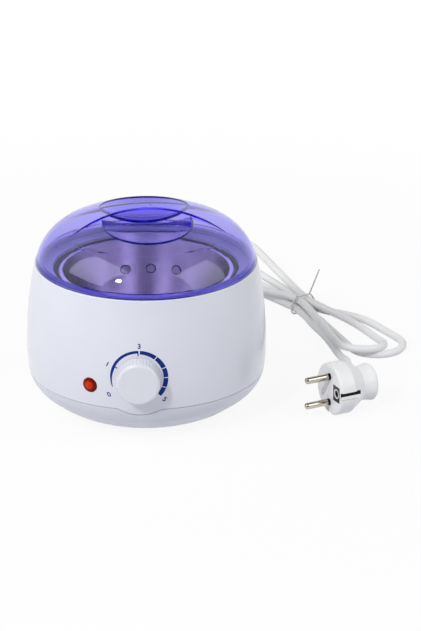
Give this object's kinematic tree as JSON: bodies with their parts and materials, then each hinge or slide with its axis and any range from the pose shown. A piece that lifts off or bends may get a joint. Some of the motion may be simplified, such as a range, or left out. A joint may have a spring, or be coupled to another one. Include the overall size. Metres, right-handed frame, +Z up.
{
  "type": "wax warmer",
  "caption": "Round table-top wax warmer with a lift-out metal pot, a see-through domed lid with a grip between finger pockets, a rotary heat knob, a pilot lamp and a mains cord.",
  "frame": {"origin": "on the floor under the casing's axis", "axes": "+Z up along the casing's axis; the knob faces -Y, and +X is to the right seen from the front"},
  "size_m": [0.2658, 0.3952, 0.1451],
  "materials": {
    "casing_white": "moulded gloss",
    "cover_white": "moulded gloss",
    "knob_white": "moulded gloss",
    "lid_violet": "clear tinted",
    "lens_red": "clear tinted",
    "lamp_glass": "clear",
    "pot_aluminium": "polished",
    "well_aluminium": "satin",
    "heater_steel": "plain",
    "plated_steel": "zinc plated",
    "gasket_rubber": "matt",
    "foot_rubber": "matt",
    "control_resin": "matt",
    "block_resin": "matt",
    "cord_white": "satin",
    "tie_wire": "matt",
    "plug_white": "satin",
    "pin_nickel": "nickel plated",
    "earth_steel": "plain"
  },
  "bodies": {
    "base": {"bottom_cover": "cover_white", "feet": "foot_rubber", "cover_screws": "plated_steel", "casing": "casing_white", "heated_well": "well_aluminium", "well_gasket": "gasket_rubber", "well_screws": "plated_steel", "heater_ring": "heater_steel", "heater_clamp": "well_aluminium", "heater_stud": "plated_steel", "heater_nut": "plated_steel", "control_body": "control_resin", "control_nut": "plated_steel", "indicator_lens": "lens_red", "indicator_lamp": "lamp_glass", "terminal_block": "block_resin", "strain_relief": "cord_white", "cord_feed": "cord_white", "cord_hank": "cord_white", "cord_tail": "cord_white", "cord_tie": "tie_wire", "plug_body": "plug_white", "plug_pins": "pin_nickel", "plug_earth_contacts": "earth_steel"},
    "pot": {"pot": "pot_aluminium", "pot_rivets": "pot_aluminium"},
    "lid": {"lid": "lid_violet"},
    "knob": {"knob": "knob_white", "control_shaft": "plated_steel"}
  },
  "joints": [
    {"name": "pot_lift", "type": "slide", "parent": "base", "child": "pot", "axis": [0, 0, 1], "range_m": [0, 0.09]},
    {"name": "lid_lift", "type": "slide", "parent": "pot", "child": "lid", "axis": [0, 0, 1], "range_m": [0, 0.06]},
    {"name": "knob_turn", "type": "hinge", "parent": "base", "child": "knob", "pos_m": [0, -0.0831, 0.0502], "axis": [0, 1, 0], "range_deg": [0, 240]}
  ]
}
